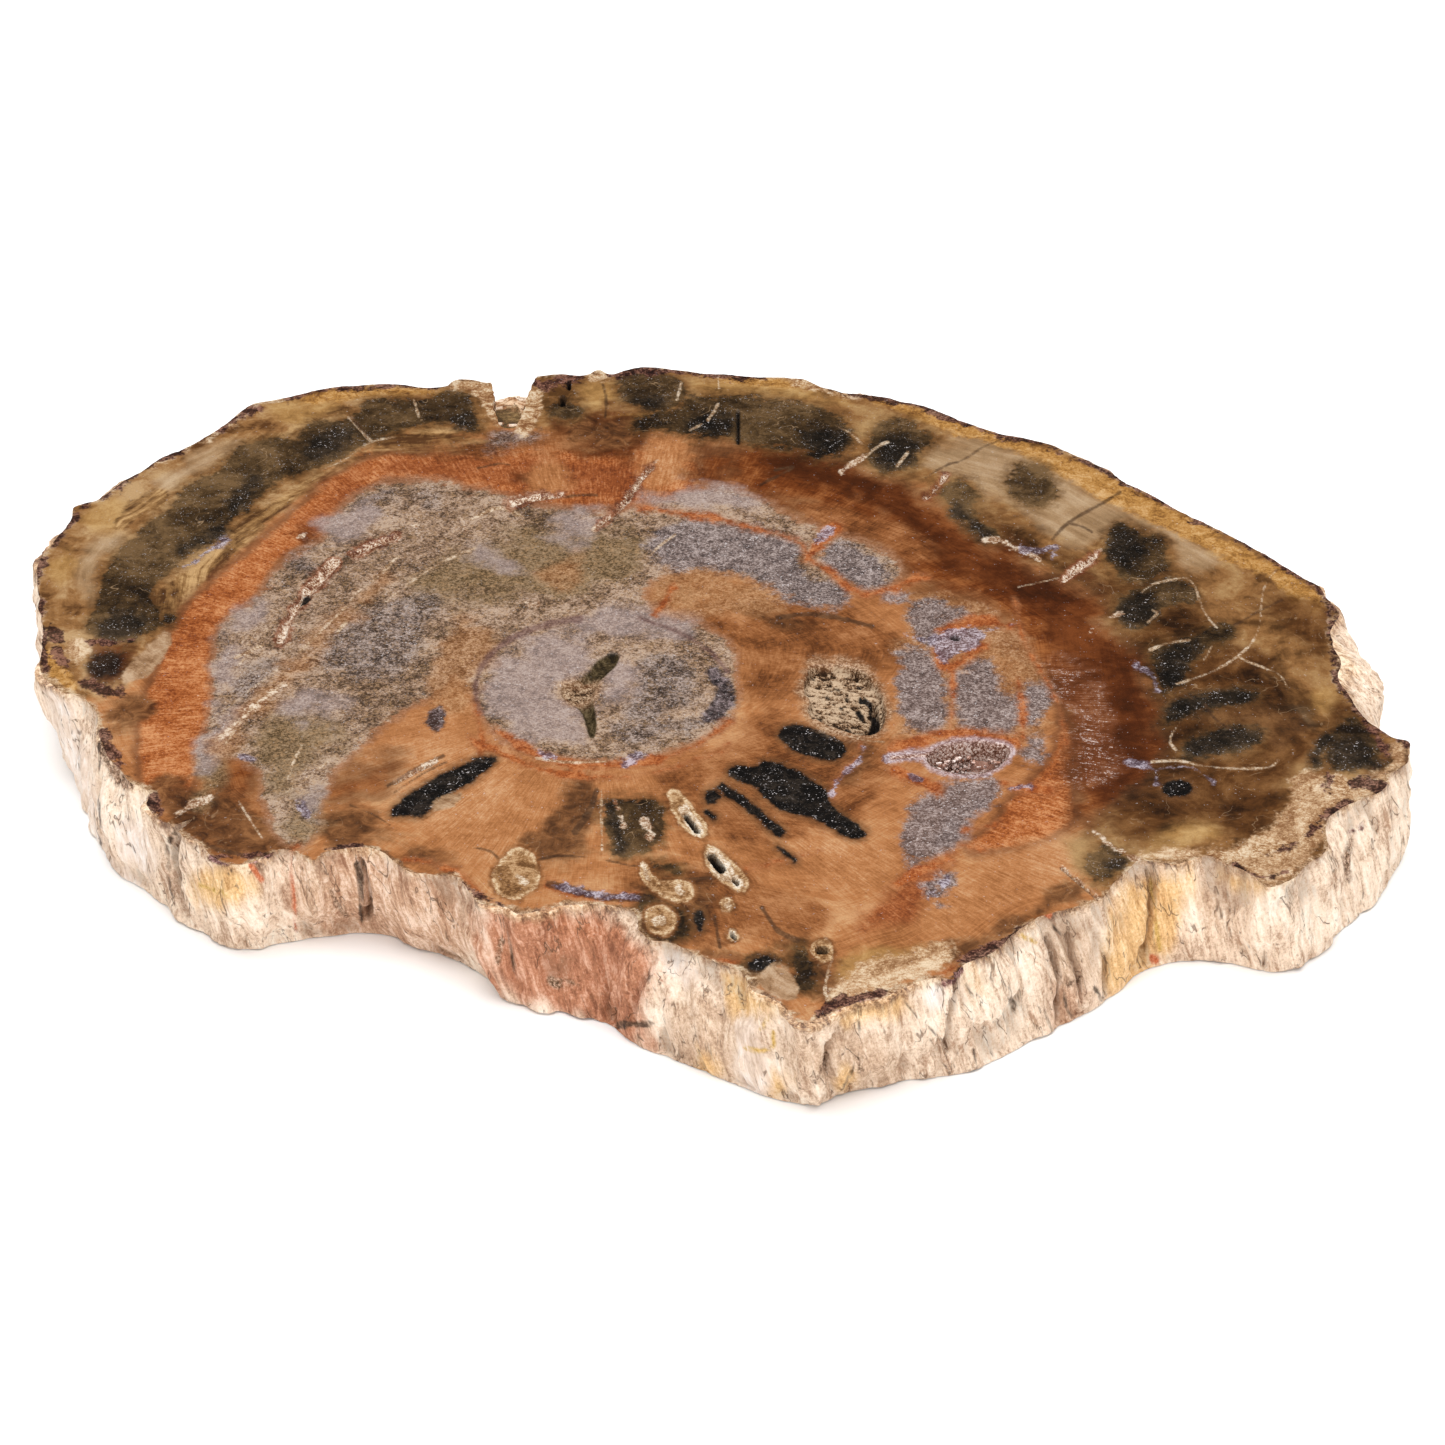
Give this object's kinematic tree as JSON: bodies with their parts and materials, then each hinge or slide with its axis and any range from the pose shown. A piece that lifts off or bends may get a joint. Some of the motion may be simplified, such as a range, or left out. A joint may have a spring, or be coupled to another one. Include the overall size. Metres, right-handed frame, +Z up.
{
  "type": "petrified wood slice",
  "caption": "Cross-section slice of a petrified trunk: flat polished top with growth rings, rough bark edge, notched back and small open pockets, lying flat.",
  "frame": {"origin": "under the middle of the slab's box, on the surface it rests on", "axes": "+X along the slab's longest extent, to the right with the pointed front towards the viewer; +Y away from the viewer, to the notched edge; +Z up, out of the polished face"},
  "size_m": [0.3108, 0.2844, 0.025],
  "materials": {
    "polished_petrified_wood": "polished top with brown, rust, grey and black growth rings; rough cream bark round the edge",
    "quartz_druse": "small bright quartz crystals, pinkish brown"
  },
  "bodies": {
    "root": {"petrified_wood_slice": "polished_petrified_wood", "crystal_crust": "quartz_druse"}
  },
  "joints": []
}
